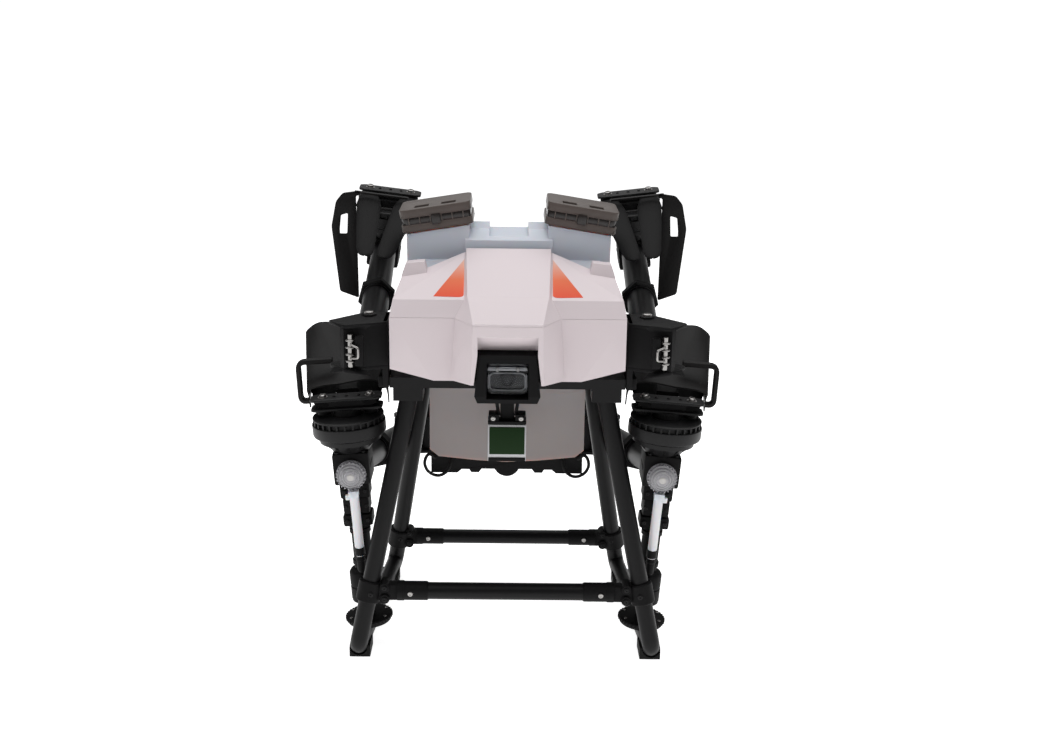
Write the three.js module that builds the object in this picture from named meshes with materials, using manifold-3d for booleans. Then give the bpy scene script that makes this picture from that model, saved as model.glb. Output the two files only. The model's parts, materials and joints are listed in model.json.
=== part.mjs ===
// Agricultural spray drone, folded for transport: a quadcopter with a faceted hood, a spray tank with two
// filler lids, a tube landing frame, two upper and two lower folding arms, and two hanging atomisers.
// Millimetres, +Z up. The drone faces -Y, so its own left side is +X. The origin is on the ground, under
// the middle of the folded machine.

import * as THREE from 'three';
import { ConvexGeometry } from 'three/addons/geometries/ConvexGeometry.js';
import { mergeVertices } from 'three/addons/utils/BufferGeometryUtils.js';
import Module from 'manifold-3d';

const wasm = await Module();
wasm.setup();

// Driving dimensions.
const SHIFT_Y = -54.5; // moves the drawing's datum, near the front wings, to the middle of the folded length
const GAP = 0.4; // air between two pieces that touch
const LEG_R = 16;
const ARM_R = 25;
const TUBE_SIDES = 12;
const BORE_GROWTH = 1 / Math.cos(Math.PI / TUBE_SIDES); // so a bore clears its tube however it is turned
const LEG_BORE_R = (LEG_R + GAP) * BORE_GROWTH;
const ARM_BORE_R = (ARM_R + GAP) * BORE_GROWTH;
const SKID_Z = 20;
const LEG_TOP_Z = 500;
const FRONT_LEG_TOP = new THREE.Vector3(172, -160, LEG_TOP_Z);
const FRONT_FOOT = new THREE.Vector3(269, -215, SKID_Z);
const REAR_FOOT = new THREE.Vector3(232, 214, SKID_Z);
const REAR_LEG_TOP = new THREE.Vector3(155, 110, LEG_TOP_Z);
const SEAM_Z = 652; // where the upper cover meets the front cover
const DECK_Z = 512; // underside of the frame rails
const RAIL_TOP_Z = 540;
const UPPER_HINGE = new THREE.Vector3(240, -200, 598);
const UPPER_MOTOR = new THREE.Vector3(262, 380, 655);
const UPPER_CANT = -7; // degrees that the upper rotor axes lean outward
const UPPER_PITCH = 6.5; // degrees that the upper rotor axes lean forward, square to their arms
const LOWER_HINGE = new THREE.Vector3(214, 290, 275);
const LOWER_MOTOR = new THREE.Vector3(278, -148, 355);
const LOWER_CANT = 4.5;
const LOWER_PITCH = 1.5;
const BELL_R = 66;
const BLADE_PIVOT = 42; // from the rotor axis to each blade's bolt
const BLADE_LENGTH = 448;
const BLADE_WIDTH = 50;
const TANK_WALL = 4;
const COVER_WALL = 4;
const LID_TILT = 9; // degrees that each filler neck leans outward
const SIDES = { left: 1, right: -1 };

const MATERIALS = {
  hood: { color: 0xe6dcda, roughness: 0.45, metalness: 0 },
  tank: { color: 0xd9dde6, roughness: 0.35, metalness: 0 },
  lid: { color: 0x77706c, roughness: 0.3, metalness: 0 },
  carbon: { color: 0x1c1b1c, roughness: 0.35, metalness: 0 },
  plastic: { color: 0x1a1a1b, roughness: 0.6, metalness: 0 },
  rubber: { color: 0x141414, roughness: 0.85, metalness: 0 },
  alloy: { color: 0x2a292b, roughness: 0.45, metalness: 0.6 },
  radar: { color: 0x16400f, roughness: 0.4, metalness: 0 },
  clear: { color: 0xd8d8dc, roughness: 0.15, metalness: 0 },
  hose: { color: 0xe8e8ea, roughness: 0.4, metalness: 0 },
};

const drone = new THREE.Group();
drone.position.y = SHIFT_Y;

// ---------- solids ----------

function solid(geometry) {
  const bare = geometry.clone();
  bare.deleteAttribute('normal');
  bare.deleteAttribute('uv');
  const merged = mergeVertices(bare, 1e-3);
  return new wasm.Manifold(new wasm.Mesh({
    numProp: 3,
    vertProperties: new Float32Array(merged.attributes.position.array),
    triVerts: new Uint32Array(merged.index.array),
  }));
}

function geometryOf(body) {
  const mesh = body.getMesh();
  const geometry = new THREE.BufferGeometry();
  geometry.setAttribute('position', new THREE.BufferAttribute(new Float32Array(mesh.vertProperties), 3));
  geometry.setIndex(Array.from(mesh.triVerts));
  geometry.computeVertexNormals();
  return geometry;
}

function joined(...bodies) {
  return bodies.reduce((sum, body) => sum.add(body));
}

// A block between two corners.
function block(x0, x1, y0, y1, z0, z1) {
  const geometry = new THREE.BoxGeometry(x1 - x0, y1 - y0, z1 - z0);
  geometry.translate((x0 + x1) / 2, (y0 + y1) / 2, (z0 + z1) / 2);
  return solid(geometry);
}

// A round bar from one point to another, its second end with a radius of its own where it tapers.
function bar(from, to, radius, sides = TUBE_SIDES, endRadius = radius) {
  const along = to.clone().sub(from);
  const geometry = new THREE.CylinderGeometry(endRadius, radius, along.length(), sides);
  geometry.translate(0, along.length() / 2, 0);
  geometry.applyQuaternion(new THREE.Quaternion().setFromUnitVectors(
    new THREE.Vector3(0, 1, 0), along.clone().normalize()));
  geometry.translate(from.x, from.y, from.z);
  return solid(geometry);
}

function pillar(x, y, z0, z1, radius, sides = TUBE_SIDES, endRadius = radius) {
  return bar(new THREE.Vector3(x, y, z0), new THREE.Vector3(x, y, z1), radius, sides, endRadius);
}

function outline(points) {
  return new THREE.Shape(points.map(([x, y]) => new THREE.Vector2(x, y)));
}

// A plate drawn in plan (X, Y), from one height to another.
function planPlate(shape, z0, z1, curveSegments = 8) {
  const geometry = new THREE.ExtrudeGeometry(shape, { depth: z1 - z0, bevelEnabled: false, curveSegments });
  geometry.translate(0, 0, z0);
  return solid(geometry);
}

// A plate drawn from the front (X, Z), from one depth to another.
function frontPlate(shape, y0, y1, curveSegments = 8) {
  const geometry = new THREE.ExtrudeGeometry(shape, { depth: y1 - y0, bevelEnabled: false, curveSegments });
  geometry.rotateX(Math.PI / 2);
  geometry.translate(0, y1, 0);
  return solid(geometry);
}

// A plate drawn from the side (Y, Z), across the machine.
function sidePlate(shape, x0, x1, curveSegments = 8) {
  const geometry = new THREE.ExtrudeGeometry(shape, { depth: x1 - x0, bevelEnabled: false, curveSegments });
  geometry.rotateX(Math.PI / 2);
  geometry.rotateZ(Math.PI / 2);
  geometry.translate(x0, 0, 0);
  return solid(geometry);
}

function hull(points) {
  return solid(new ConvexGeometry(points.map(([x, y, z]) => new THREE.Vector3(x, y, z))));
}

// The same points on both sides of the machine.
function bothSides(points) {
  return points.flatMap(([x, y, z]) => [[x, y, z], [-x, y, z]]);
}

function roundSection(radius, sides) {
  const points = [];
  for (let i = 0; i < sides; i += 1) {
    const angle = (2 * Math.PI * i) / sides;
    points.push([radius * Math.cos(angle), radius * Math.sin(angle)]);
  }
  return outline(points);
}

// A tube through corner points, with a ball at each inner corner.
function corneredTube(corners, radius) {
  const runs = corners.slice(1).map((corner, i) => bar(corners[i], corner, radius));
  const balls = corners.slice(1, -1).map((corner) => {
    const ball = new THREE.SphereGeometry(radius, TUBE_SIDES, 8);
    ball.translate(corner.x, corner.y, corner.z);
    return solid(ball);
  });
  return joined(...runs, ...balls);
}

function cable(points, radius, steps) {
  const path = new THREE.CatmullRomCurve3(points);
  return solid(new THREE.ExtrudeGeometry(roundSection(radius, 8), { steps, extrudePath: path }));
}

function mirrored(geometry) {
  const copy = geometry.clone();
  copy.scale(-1, 1, 1);
  const index = Array.from(copy.index.array);
  for (let i = 0; i < index.length; i += 3) {
    [index[i], index[i + 1]] = [index[i + 1], index[i]];
  }
  copy.setIndex(index);
  copy.computeVertexNormals();
  return copy;
}

function place(name, body, look, parent = drone) {
  const mesh = new THREE.Mesh(geometryOf(body), new THREE.MeshStandardMaterial(MATERIALS[look]));
  mesh.name = name;
  parent.add(mesh);
}

// One piece on each side: `body` is drawn for the left, and the right one is its mirror image.
function placePair(name, body, look, parents = { left: drone, right: drone }) {
  const geometry = geometryOf(body);
  for (const [word, side] of Object.entries(SIDES)) {
    const mesh = new THREE.Mesh(
      side > 0 ? geometry : mirrored(geometry), new THREE.MeshStandardMaterial(MATERIALS[look]));
    mesh.name = `${name}_${word}`;
    parents[word].add(mesh);
  }
}

// ---------- landing gear ----------

function legPoint(top, foot, z) {
  return top.clone().lerp(foot, (LEG_TOP_Z - z) / (LEG_TOP_Z - SKID_Z));
}

function landingFrame() {
  const corners = [FRONT_LEG_TOP, FRONT_FOOT, REAR_FOOT, REAR_LEG_TOP];
  placePair('landing_frame', corneredTube(corners, LEG_R), 'carbon');
}

function footPads() {
  const skid = bar(FRONT_FOOT, REAR_FOOT, LEG_BORE_R);
  const along = REAR_FOOT.clone().sub(FRONT_FOOT).normalize();
  const places = {
    foot_pad_front: FRONT_FOOT.clone().addScaledVector(along, 36),
    foot_pad_rear: REAR_FOOT.clone().addScaledVector(along, -75),
  };
  for (const [name, at] of Object.entries(places)) {
    const pad = block(at.x - 19, at.x + 19, at.y - 28, at.y + 28, 0, 22).subtract(skid);
    placePair(name, pad, 'rubber');
  }
}

function crossBar(name, top, foot, z, pivotX, tubeR) {
  const leg = legPoint(top, foot, z);
  const above = legPoint(top, foot, z + 17);
  const below = legPoint(top, foot, z - 17);
  const legCut = bar(legPoint(top, foot, z + 60), legPoint(top, foot, z - 40), LEG_BORE_R);
  const tube = bar(
    new THREE.Vector3(-pivotX + 14, leg.y, z), new THREE.Vector3(pivotX - 14, leg.y, z), tubeR);
  let whole = tube;
  for (const side of [1, -1]) {
    const mirrorPoint = (p) => new THREE.Vector3(side * p.x, p.y, p.z);
    const clamp = bar(mirrorPoint(below), mirrorPoint(above), LEG_R + 7);
    const xs = [side * (pivotX - 16), side * (leg.x - 8)].sort((a, b) => a - b);
    const lug = block(xs[0], xs[1], leg.y - 13, leg.y + 13, z - 19, z + 19);
    const sleeveEnds = [side * (pivotX - 66), side * (pivotX - 10)].sort((a, b) => a - b);
    const sleeve = bar(
      new THREE.Vector3(sleeveEnds[0], leg.y, z), new THREE.Vector3(sleeveEnds[1], leg.y, z), tubeR + 2);
    const cut = side > 0 ? legCut : solid(mirrored(geometryOf(legCut)));
    whole = joined(whole, sleeve, clamp, lug).subtract(cut);
  }
  place(name, whole, 'carbon');
}

// ---------- frame ----------

function mainFrame() {
  const rails = joined(
    block(146, 178, -215, 345, DECK_Z, RAIL_TOP_Z), block(-178, -146, -215, 345, DECK_Z, RAIL_TOP_Z));
  const frontPlateBody = block(-203, 203, -240, -172, DECK_Z + 10, RAIL_TOP_Z);
  const avionicsDeck = block(-70, 70, -260, -150, RAIL_TOP_Z - 6, RAIL_TOP_Z);
  const rearBeam = block(-178, 178, 312, 345, DECK_Z, RAIL_TOP_Z);
  const midBeam = block(-178, 178, 108, 128, DECK_Z, RAIL_TOP_Z);
  let frame = joined(rails, frontPlateBody, avionicsDeck, rearBeam, midBeam);
  for (const side of [1, -1]) {
    for (const [top, foot] of [[FRONT_LEG_TOP, FRONT_FOOT], [REAR_LEG_TOP, REAR_FOOT]]) {
      const centre = legPoint(top, foot, 485);
      const xs = [side * (centre.x - 26), side * (centre.x + 26)].sort((a, b) => a - b);
      const clamp = block(xs[0], xs[1], centre.y - 28, centre.y + 28, 484, DECK_Z + 1);
      const from = legPoint(top, foot, 440);
      const to = legPoint(top, foot, LEG_TOP_Z + 1);
      const cut = bar(
        new THREE.Vector3(side * from.x, from.y, from.z), new THREE.Vector3(side * to.x, to.y, to.z),
        LEG_BORE_R);
      frame = frame.add(clamp).subtract(cut);
    }
  }
  place('main_frame', frame, 'carbon');
}

// Fixed half of each upper arm's hinge: two plates that hold the pin, with a channel that the unfolded arm
// swings into.
function frontSockets() {
  const { x, y, z } = UPPER_HINGE;
  const plan = [
    [204, -168], [x + 2, y + 27], [x + 18, y + 18], [x + 66, y - 38], [x + 36, y - 77], [204, -246],
  ];
  const top = planPlate(outline(plan), z + 35, z + 42);
  const bottom = planPlate(outline(plan), z - 40, z - 33);
  const web = planPlate(
    outline([[204, -246], [x + 36, y - 77], [x + 43, y - 68], [214, -229]]), z - 34, z + 36);
  const bracket = block(204, 214, -246, -168, DECK_Z + 12, z + 42);
  const foot = block(203 + GAP, 222, -240, -180, DECK_Z + 10, DECK_Z + 30);
  const pin = pillar(x, y, z - 48, z - 32, 13);
  placePair('arm_socket_front', joined(top, bottom, web, bracket, foot, pin), 'plastic');
}

// Fixed half of each lower arm's hinge, at the foot of a post under the rear of the frame.
function rearSockets() {
  const { x, y, z } = LOWER_HINGE;
  const postX = 168;
  const post = pillar(postX, y, z - 38, DECK_Z - GAP, 12);
  const ring = pillar(postX, y, z + 100, z + 108, 15);
  const plan = [
    [postX - 16, y - 18], [x, y - 26], [x + 22, y - 14], [x + 26, y + 6], [x + 12, y + 30],
    [postX - 16, y + 20],
  ];
  const top = planPlate(outline(plan), z + 36, z + 43);
  const bottom = planPlate(outline(plan), z - 38, z - 31);
  placePair('arm_socket_rear', joined(post, ring, top, bottom), 'plastic');
}

// ---------- covers ----------

function hoodOutside(inset) {
  const i = inset;
  const below = inset > 0 ? 60 : 0; // the inside runs out of the open underside and the open back
  const behind = inset > 0 ? 60 : 0;
  const wings = hull(bothSides([
    [200 - i, -265 + i, 562 - below], [200 - i, -268 + i, SEAM_Z], [195 - i, -252 + i, 680 - i],
    [125 - i, -272 + i, 544 - below], [186 - i, -75 + behind, 700 - i], [200 - i, -75 + behind, SEAM_Z],
    [200 - i, -75 + behind, 562 - below], [125 - i, -75 + behind, 544 - below],
    [78 - i, -30 + behind, 722 - i],
  ]));
  const nose = hull(bothSides([
    [61 - i, -330 + i, 552 - below], [58 - i, -330 + i, 656 - i], [69 - i, -254 + i, 687 - i],
    [77 - i, -30 + behind, 729 - i], [99 - i, -268 + i, 545 - below], [90 - i, -268 + i, SEAM_Z],
    [77 - i, -30 + behind, 600],
  ]));
  return wings.add(nose);
}

function covers() {
  const shell = hoodOutside(0).subtract(hoodOutside(COVER_WALL));
  const backCut = planPlate(
    outline([[82, -10], [82, -32], [142, -92], [220, -72], [220, 20], [82, 20]]), 560, 760);
  const backCutRight = solid(mirrored(geometryOf(backCut)));
  const upper = block(-230, 230, -400, 60, SEAM_Z + GAP / 2, 800);
  const lower = block(-230, 230, -400, -78, 400, SEAM_Z - GAP / 2);
  let upperCover = shell.intersect(upper).subtract(backCut).subtract(backCutRight);
  for (const side of [1, -1]) {
    const shoulder = hull([
      [side * 143, -128, 697], [side * 190, -128, 690], [side * 190, -84, 694], [side * 143, -84, 696],
      [side * 149, -116, 719], [side * 182, -116, 716], [side * 182, -88, 716], [side * 149, -88, 719],
    ]);
    upperCover = upperCover.add(shoulder);
  }
  const niche = frontPlate(outline([
    [-50, 634], [-50, 603], [-58, 536], [-58, 500], [58, 500], [58, 536], [50, 603], [50, 634],
  ]), -340, -290);
  const nicheBack = block(-54, 54, -292, -240, 500, 606);
  place('upper_cover', upperCover, 'hood');
  const lining = hull(bothSides([
    [53, -329, 637], [53, -325, 640], [56, -298, 605], [56, -292, 606],
  ]));
  const frontCover = shell.intersect(lower).subtract(niche).subtract(nicheBack).add(lining);
  place('front_cover', frontCover, 'hood');
}

// ---------- tank ----------

function tankBody(inset) {
  const i = inset;
  const lower = frontPlate(outline([
    [-140 + i, 376 + i / 2], [-124 + i / 2, 363 + i], [-55, 356 + i], [0, 353 + i], [55, 356 + i],
    [124 - i / 2, 363 + i], [140 - i, 376 + i / 2], [140 - i, 566], [-140 + i, 566],
  ]), -130 + i, 78 - i);
  const shoulders = sidePlate(outline([
    [-98 + i, 550 + i], [-98 + i, 672 - i], [-28 + i, 706 - i], [100 - i, 706 - i], [100 - i, 550 + i],
  ]), -188 + i, 188 - i);
  const flare = frontPlate(outline([
    [-140 + i, 548], [140 - i, 548], [188 - i, 596 + i], [188 - i, 668 - i], [160 - i, 720], [-160 + i, 720],
    [-188 + i, 668 - i], [-188 + i, 596 + i],
  ]), -120, 120);
  const saddle = sidePlate(outline([
    [-28 + i, 690], [-20 + i, 742 - i], [2, 760 - i], [88, 760 - i], [100 - i, 748 - i], [100 - i, 690],
  ]), -80 + i, 80 - i);
  const notch = block(-36 - i, 36 + i, -60, 120, 748 - i, 800);
  const necks = [1, -1].map((side) => frontPlate(outline([
    [side * (74 + i), 688], [side * (186 - i), 688], [side * (187 - i), inset > 0 ? 785 : 751],
    [side * (72 + i), inset > 0 ? 805 : 769.5],
  ]), -16 + i, 96 - i));
  return joined(lower, shoulders.intersect(flare), saddle.subtract(notch), ...necks);
}

function tank() {
  const hollow = tankBody(0).subtract(tankBody(TANK_WALL));
  place('spray_tank', hollow, 'tank');
}

function tankLids() {
  const halfWidth = 66;
  const parents = {};
  for (const [word, side] of Object.entries(SIDES)) {
    const holder = new THREE.Group();
    holder.position.set(side * 129.5, 40, 760.6);
    holder.rotation.y = THREE.MathUtils.degToRad(side * LID_TILT);
    drone.add(holder);
    parents[word] = holder;
  }
  const corner = 14;
  const shape = outline([
    [-halfWidth + corner, -62], [halfWidth - corner, -62], [halfWidth, -62 + corner],
    [halfWidth, 62 - corner], [halfWidth - corner, 62], [-halfWidth + corner, 62],
    [-halfWidth, 62 - corner], [-halfWidth, -62 + corner],
  ]);
  const grips = joined(block(-38, -10, -44, -16, 36, 60), block(10, 38, -44, -16, 36, 60));
  placePair('tank_lid', planPlate(shape, 2.4, 44).subtract(grips), 'lid', parents);
}

// ---------- camera, radar, avionics, pump, battery ----------

function camera() {
  const bezel = hull(bothSides([
    [47, -322, 601], [47, -262, 601], [55, -330, 533], [50, -329, 521], [50, -262, 521], [52, -262, 540],
  ]));
  const well = block(-35, 35, -340, -300, 528, 588);
  place('camera_housing', bezel.subtract(well), 'plastic');
  const windowFace = hull(bothSides([
    [33, -324, 538], [28, -329, 533], [33, -322, 580], [28, -318, 585], [33, -301, 533], [33, -301, 585],
  ]));
  place('camera_window', windowFace, 'clear');
}

function radar() {
  const bracket = joined(
    block(-33, 33, -262, -228, 463, 482), block(-12, 12, -250, -232, 480, DECK_Z - GAP),
    block(-26, 26, -262, -232, 500, DECK_Z - GAP));
  place('radar_bracket', bracket, 'plastic');
  place('radar_module', block(-33, 33, -258, -226, 395, 463 - GAP), 'radar');
}

function avionics() {
  place('flight_controller', block(-55, 55, -248, -158, RAIL_TOP_Z + GAP, 588), 'plastic');
}

function pumpModule() {
  const edge = outline([
    [-141, 311], [-92, 311], [-84, 318], [-70, 318], [-66, 312], [-52, 312], [-47, 319], [47, 319],
    [52, 312], [66, 312], [70, 318], [84, 318], [92, 311], [141, 311], [141, 350], [-141, 350],
  ]);
  const dome = bar(new THREE.Vector3(0, -62, 327), new THREE.Vector3(0, 40, 327), 25, 24);
  place('pump_module', joined(frontPlate(edge, -70, 60), dome), 'plastic');
}

function battery() {
  const base = RAIL_TOP_Z + GAP;
  const tray = joined(
    block(-176, 176, 150, 340, base, base + 5), block(-92, -86, 150, 340, base, base + 70),
    block(86, 92, 150, 340, base, base + 70), block(-92, 92, 144, 150, base, base + 70));
  place('battery_tray', tray, 'alloy');
  const bodyBlock = block(-84, 84, 152, 332, base + 6, 692);
  const grip = block(-50, 50, 312, 340, 640, 668);
  const handle = block(-60, 60, 330, 356, 668, 682);
  place('battery', bodyBlock.subtract(grip).add(handle), 'plastic');
}

function cableLoops() {
  const points = [
    [104, -71.4, 342], [104, -77, 342], [105, -84, 331], [111, -86, 319], [122, -86, 311.5],
    [134, -86, 311.5], [146, -86, 319], [152, -86, 332], [150, -85, 345], [143, -82, 351],
    [134, -78, 343], [134, -71.4, 342],
  ].map(([x, y, z]) => new THREE.Vector3(x, y, z));
  placePair('cable_loop', cable(points, 3, 26), 'rubber');
}

// ---------- arms and rotors ----------

function armBody(hinge, motor, knuckleZ, collars) {
  const along = motor.clone().sub(hinge).normalize();
  const tube = bar(hinge, motor.clone().addScaledVector(along, -20), ARM_R);
  const knuckle = pillar(hinge.x, hinge.y, hinge.z + knuckleZ[0], hinge.z + knuckleZ[1], 24);
  const rings = collars.map(([at, length, radius]) => {
    const from = hinge.clone().addScaledVector(along, at);
    return bar(from, from.clone().addScaledVector(along, length), radius, 6);
  });
  return joined(tube, knuckle, ...rings);
}

function motorGroups(motor, cant, pitch) {
  const groups = {};
  for (const [word, side] of Object.entries(SIDES)) {
    const group = new THREE.Group();
    group.position.set(side * motor.x, motor.y, motor.z);
    group.rotation.set(THREE.MathUtils.degToRad(pitch), THREE.MathUtils.degToRad(side * cant), 0);
    drone.add(group);
    groups[word] = group;
  }
  return groups;
}

// Clamp at the arm's end with the motor's fixed half on top, drawn about the arm's end point.
function motorBase(hinge, motor, cant, pitch) {
  const turn = new THREE.Quaternion().setFromEuler(new THREE.Euler(
    THREE.MathUtils.degToRad(pitch), THREE.MathUtils.degToRad(cant), 0)).invert();
  const inward = hinge.clone().sub(motor).normalize().applyQuaternion(turn);
  const clamp = block(-34, 34, -36, 36, -32, 30);
  const bore = bar(inward.clone().multiplyScalar(18), inward.clone().multiplyScalar(140), ARM_BORE_R);
  const neck = pillar(0, 0, 28, 46, 34, 16, 46);
  const flange = pillar(0, 0, 45, 57, 56, 24);
  return joined(clamp, neck).subtract(bore).add(flange);
}

function rotor() {
  const bell = pillar(0, 0, 58, 93, BELL_R, 28, BELL_R - 2);
  const hub = pillar(0, 0, 92, 111, 26, 16);
  const plates = [[106, 111], [122, 128]].map(([z0, z1]) => planPlate(outline([
    [-64, -12], [-56, -19], [56, -19], [64, -12], [64, 12], [56, 19], [-56, 19], [-64, 12],
  ]), z0, z1));
  const bolts = [-BLADE_PIVOT, BLADE_PIVOT].map((x) => pillar(x, 0, 108, 131, 7, 8));
  return joined(bell, hub, ...plates, ...bolts);
}

// One blade, lying back along +Y from its bolt unless `turn` (degrees about the rotor's axis) says otherwise.
function blade(pivotX, turn) {
  const half = BLADE_WIDTH / 2;
  const shape = new THREE.Shape();
  shape.absarc(0, 0, 17, Math.PI * 1.15, Math.PI * 1.85, false);
  shape.lineTo(15, 20);
  shape.quadraticCurveTo(half, 55, half, 100);
  shape.lineTo(half * 0.62, BLADE_LENGTH - 24);
  shape.quadraticCurveTo(half * 0.58, BLADE_LENGTH, 0, BLADE_LENGTH);
  shape.quadraticCurveTo(-half * 0.5, BLADE_LENGTH - 4, -half * 0.6, BLADE_LENGTH - 40);
  shape.lineTo(-half, 120);
  shape.quadraticCurveTo(-half, 55, -15, 20);
  shape.closePath();
  const hole = new THREE.Path();
  hole.absarc(0, 0, 8, 0, Math.PI * 2, true);
  shape.holes.push(hole);
  const geometry = new THREE.ExtrudeGeometry(
    shape, { depth: 9, bevelEnabled: false, curveSegments: 4 });
  geometry.rotateZ(THREE.MathUtils.degToRad(turn));
  geometry.translate(pivotX, 0, 112);
  return solid(geometry);
}

// Bent-sheet boot over the stowed lower blades, with a hand loop on its outer side.
function lowerHolder() {
  const front = 40;
  const back = 250;
  const sheet = 3;
  const crest = (y, inner, middle, outer, z) => [0, sheet].flatMap((drop) => [
    [inner, y, z[0] - drop], [middle, y, z[1] - drop], [outer, y, z[2] - drop],
  ]);
  const roof = hull([
    ...crest(front, -72, 16, 74, [141, 141, 132]), ...crest(back, -50, 78, 100, [188, 204, 186]),
  ]);
  const wall = (xFront, xBack, topFront, topBack) => hull([
    [xFront, front, 97], [xFront + sheet, front, 97], [xBack, back, 97], [xBack + sheet, back, 97],
    [xFront, front, topFront], [xFront + sheet, front, topFront],
    [xBack, back, topBack], [xBack + sheet, back, topBack],
  ]);
  const floor = hull([97, 97 + sheet].flatMap((z) => [
    [-63, 130, z], [85, 130, z], [-50, back, z], [99, back, z],
  ]));
  const loop = frontPlate(outline([
    [76, 98], [84, 90], [96, 95], [97, 168], [90, 178], [30, 178], [30, 166], [76, 166],
  ]), 78, 86);
  const loopHole = frontPlate(outline([[80, 106], [88, 101], [91, 108], [91, 164], [80, 167]]), 70, 95);
  return joined(
    roof, wall(-72, -50, 140, 187), wall(71, 97, 131, 185), floor, loop.subtract(loopHole));
}

// Bent-sheet guard that clasps the stowed upper blades, with a hand slot in its outer plate.
function upperHolder() {
  const { x, y } = UPPER_MOTOR;
  const front = y - 90;
  const back = y - 75;
  const plate = frontPlate(outline([
    [x + 40, 778], [x + 40, 788], [x + 76, 783], [x + 90, 766], [x + 100, 715], [x + 85, 580],
    [x + 46, 566], [x + 49, 778],
  ]), front, front + 4);
  const handSlot = frontPlate(outline([
    [x + 66, 742], [x + 80, 738], [x + 84, 700], [x + 68, 700],
  ]), y - 100, y - 60);
  const clasp = (z0, z1) => hull([front, back].flatMap((depth) => [
    [x - 57, depth, z0 - 9], [x - 57, depth, z0 - 5], [x + 52, depth, z1 - 4], [x + 52, depth, z1],
  ]));
  return joined(plate, clasp(779, 787), clasp(751, 760)).subtract(handSlot);
}

function sprayGear(groups) {
  const clamp = block(-28, 28, -22, 22, -118, -33);
  const neck = pillar(0, 0, -205, -117, 17);
  const bodyTube = pillar(0, 0, -270, -203, 23);
  const shaft = pillar(0, 0, -298, -268, 11);
  const barb = block(-8, 8, -34, 0, -196, -184);
  const elbow = bar(new THREE.Vector3(0, -32, -198), new THREE.Vector3(0, -32, -168), 8, 16);
  placePair('spray_strut', joined(clamp, neck, bodyTube, shaft, barb, elbow), 'plastic', groups);
  placePair('atomiser_disc', pillar(0, 0, -313, -298 - GAP, 44, 24, 40), 'plastic', groups);
  const cap = bar(new THREE.Vector3(0, -36 - GAP, -8), new THREE.Vector3(0, -58, -8), 27, 20);
  placePair('flow_sensor', cap, 'clear', groups);
  const hose = bar(new THREE.Vector3(-2, -46, -36), new THREE.Vector3(0, -32, -166.5), 6.5, 8);
  placePair('spray_hose', hose, 'hose', groups);
}

function armAssemblies() {
  const upper = motorGroups(UPPER_MOTOR, UPPER_CANT, UPPER_PITCH);
  const lower = motorGroups(LOWER_MOTOR, LOWER_CANT, LOWER_PITCH);
  placePair('arm_upper', armBody(UPPER_HINGE, UPPER_MOTOR, [-31, 33], [[236, 24, 36]]), 'carbon');
  placePair('arm_lower', armBody(LOWER_HINGE, LOWER_MOTOR, [-29, 34], [[250, 36, 36]]), 'carbon');
  placePair(
    'motor_base_upper', motorBase(UPPER_HINGE, UPPER_MOTOR, UPPER_CANT, UPPER_PITCH), 'alloy', upper);
  placePair(
    'motor_base_lower', motorBase(LOWER_HINGE, LOWER_MOTOR, LOWER_CANT, LOWER_PITCH), 'alloy', lower);
  const stowed = [
    ['upper', upper, 180 + 2.5, 180 - 4], // the upper blades lie forward, closing towards each other
    ['lower', lower, -5.5, -5.5],
  ];
  for (const [word, groups, innerTurn, outerTurn] of stowed) {
    placePair(`rotor_${word}`, rotor(), 'alloy', groups);
    placePair(`blade_${word}_inner`, blade(-BLADE_PIVOT, innerTurn), 'carbon', groups);
    placePair(`blade_${word}_outer`, blade(BLADE_PIVOT, outerTurn), 'carbon', groups);
  }
  placePair('blade_holder_lower', lowerHolder(), 'plastic', lower);
  placePair('blade_holder_upper', upperHolder(), 'plastic');
  sprayGear(lower);
}

landingFrame();
footPads();
crossBar('cross_bar_front', FRONT_LEG_TOP, FRONT_FOOT, 130, 206, 15.5);
crossBar('cross_bar_rear', REAR_LEG_TOP, REAR_FOOT, 78, 196, 14.5);
mainFrame();
frontSockets();
rearSockets();
covers();
tank();
tankLids();
camera();
radar();
avionics();
pumpModule();
battery();
cableLoops();
armAssemblies();

export default drone;
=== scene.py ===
"""Looks of the folded spray drone: the CAD frame with detailed pieces, materials, studio and camera."""

import json
import math

import bmesh
import bpy
from mathutils import Matrix, Vector


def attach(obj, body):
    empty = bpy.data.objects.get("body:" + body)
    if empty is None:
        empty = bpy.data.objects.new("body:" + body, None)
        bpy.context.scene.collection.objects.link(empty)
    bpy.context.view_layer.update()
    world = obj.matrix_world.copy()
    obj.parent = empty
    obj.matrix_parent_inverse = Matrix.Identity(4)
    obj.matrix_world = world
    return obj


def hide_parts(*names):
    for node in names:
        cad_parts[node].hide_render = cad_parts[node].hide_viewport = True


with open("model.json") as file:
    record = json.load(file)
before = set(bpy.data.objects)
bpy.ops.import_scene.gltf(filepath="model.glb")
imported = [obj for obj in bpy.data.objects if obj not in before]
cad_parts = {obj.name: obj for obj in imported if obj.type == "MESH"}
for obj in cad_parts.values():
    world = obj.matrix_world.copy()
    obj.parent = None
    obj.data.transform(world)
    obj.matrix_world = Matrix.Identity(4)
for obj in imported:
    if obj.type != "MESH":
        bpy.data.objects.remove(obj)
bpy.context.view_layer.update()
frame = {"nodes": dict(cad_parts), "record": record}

MM = 0.001
DATUM_Y = -0.0545  # the drawing's datum, as in the CAD source
DRAWING = Matrix.Translation((0, DATUM_Y, 0)) @ Matrix.Scale(MM, 4)
MIRROR = Matrix.Scale(-1, 4, (1, 0, 0))
SIDES = {"left": 1, "right": -1}
JOINTS = {joint["name"]: joint for joint in frame["record"]["behaviour"]["joints"]}

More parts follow.
